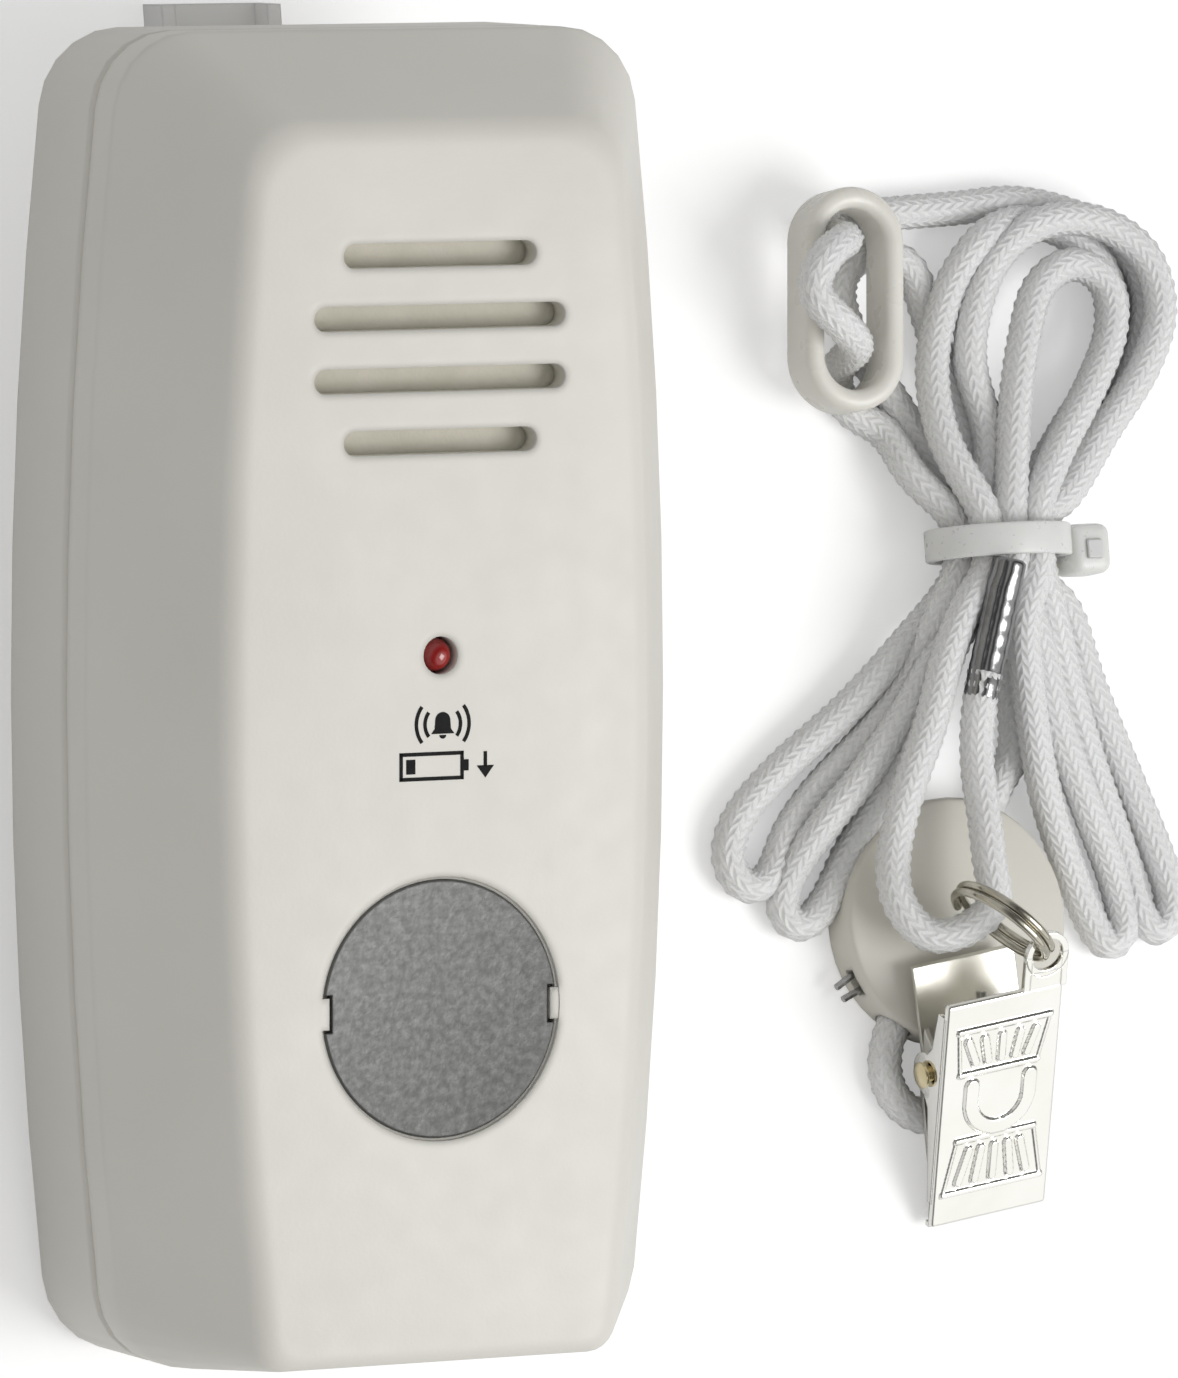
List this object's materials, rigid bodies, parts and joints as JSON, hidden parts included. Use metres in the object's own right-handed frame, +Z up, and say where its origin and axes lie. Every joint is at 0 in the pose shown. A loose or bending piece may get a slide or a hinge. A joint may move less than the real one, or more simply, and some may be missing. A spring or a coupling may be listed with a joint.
{
  "type": "magnetic fall alarm",
  "caption": "Bedside fall alarm box with sound slots, indicator, steel plate for a magnet, back clip and battery door, beside its tied pull cord with magnet, slider and cloth clip.",
  "frame": {"origin": "middle of the base of the box round everything but the soft cord, on the surface that the alarm lies on", "axes": "+Z up from the surface, +Y towards the top end of the alarm, +X from the alarm towards its cord"},
  "size_m": [0.1251, 0.1254, 0.0468],
  "materials": {
    "housing_front": "fine satin",
    "housing_rear": "fine satin",
    "clip_plastic": "satin",
    "keeper_steel": "fine matte grain",
    "lens_red": "clear red, glossy",
    "dust_cloth": "felt",
    "black_plastic": "matte",
    "board_green": "solder mask",
    "reed_glass": "glossy",
    "battery_case": "satin jacket",
    "wire_red": "glossy",
    "wire_black": "glossy",
    "screw_steel": "zinc plated",
    "spring_steel": "bright wire",
    "slider_plastic": "semi-gloss",
    "tie_nylon": "translucent nylon",
    "holder_plastic": "satin",
    "magnet_grey": "ferrite",
    "rivet_brass": "bright",
    "chrome_plate": "bright plate",
    "cord_braid": "glossy braid"
  },
  "bodies": {
    "alarm_and_cord": {"front_cover": "housing_front", "rear_cover": "housing_rear", "keeper_plate": "keeper_steel", "indicator_led": "lens_red", "dust_screen": "dust_cloth", "sounder": "black_plastic", "sounder_lead_red": "wire_red", "sounder_lead_black": "wire_black", "circuit_board": "board_green", "alarm_chip": "black_plastic", "reed_switch": "reed_glass", "capacitor": "black_plastic", "battery": "battery_case", "battery_snap": "black_plastic", "battery_lead_red": "wire_red", "battery_lead_black": "wire_black", "case_screw_1": "screw_steel", "case_screw_2": "screw_steel", "case_screw_3": "screw_steel", "case_screw_4": "screw_steel", "board_screw_1": "screw_steel", "board_screw_2": "screw_steel", "belt_clip_pin": "screw_steel", "belt_clip_spring": "spring_steel", "cord_hank_upper": "cord_braid", "cord_hank_lower": "cord_braid", "cord_front_loop": "cord_braid", "cord_slider_loop": "cord_braid", "cord_tail": "cord_braid", "cord_slider": "slider_plastic", "cable_tie": "tie_nylon", "cord_tip": "chrome_plate", "magnet_holder": "holder_plastic", "magnet": "magnet_grey", "wire_staple": "spring_steel", "cloth_clip_back_jaw": "chrome_plate", "cloth_clip_pin": "rivet_brass", "cloth_clip_spring": "spring_steel"},
    "belt_clip_arm": {"belt_clip": "clip_plastic"},
    "battery_door": {"battery_door": "housing_rear"},
    "cloth_clip_front": {"cloth_clip_front_jaw": "chrome_plate", "split_ring": "chrome_plate"}
  },
  "joints": [
    {"name": "belt_clip_hinge", "type": "hinge", "parent": "alarm_and_cord", "child": "belt_clip_arm", "pos_m": [-0.02865, 0.03846, 0.00725], "axis": [1, 0, 0], "range_deg": [0, 16], "stiffness_Nm_per_rad": 0.5, "springref_deg": -17.19, "deforming": ["belt_clip_spring"]},
    {"name": "battery_door_slide", "type": "slide", "parent": "alarm_and_cord", "child": "battery_door", "axis": [0, -0.9874, -0.1584], "range_m": [0, 0.008]},
    {"name": "cloth_clip_hinge", "type": "hinge", "parent": "alarm_and_cord", "child": "cloth_clip_front", "pos_m": [0.04052, -0.03806, 0.0069], "axis": [-0.989, -0.1478, 0], "range_deg": [0, 15], "stiffness_Nm_per_rad": 0.05, "springref_deg": -34.38, "deforming": ["cloth_clip_spring"]}
  ]
}
